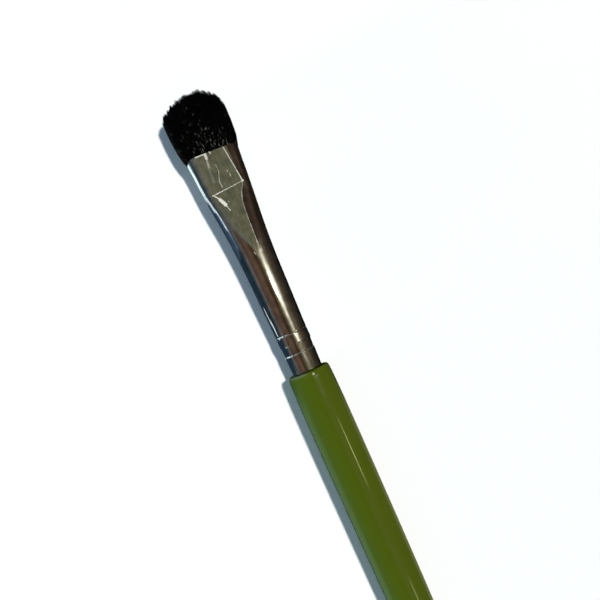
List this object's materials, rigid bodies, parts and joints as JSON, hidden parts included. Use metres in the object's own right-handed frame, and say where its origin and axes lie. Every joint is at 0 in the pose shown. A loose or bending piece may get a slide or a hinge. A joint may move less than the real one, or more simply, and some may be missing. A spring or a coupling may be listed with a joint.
{
  "type": "blending brush",
  "caption": "Slim make-up blending brush: a domed tuft of black fibres in a flat-pressed bright ferrule, on a long turned handle in glossy green lacquer.",
  "frame": {"origin": "middle of the length of the lying brush, level with the lowest line of the handle", "axes": "+X along the brush from the tuft's tip to the handle's tail, +Z square to the ferrule's upper pressed face, +Y across the tuft"},
  "size_m": [0.1749, 0.0116, 0.008],
  "materials": {
    "black_fibre": "fine smooth synthetic fibres, satin, near black",
    "amber_resin": "set casting resin, hidden",
    "bright_plating": "bright nickel plating with small handling marks",
    "white_glue": "set wood glue, hidden",
    "green_lacquer": "turned wood under glossy olive-green lacquer"
  },
  "bodies": {
    "root": {"bristle_tuft": "black_fibre", "root_resin_plug": "amber_resin", "ferrule": "bright_plating", "tenon_glue_cup": "white_glue", "handle": "green_lacquer"}
  },
  "joints": []
}
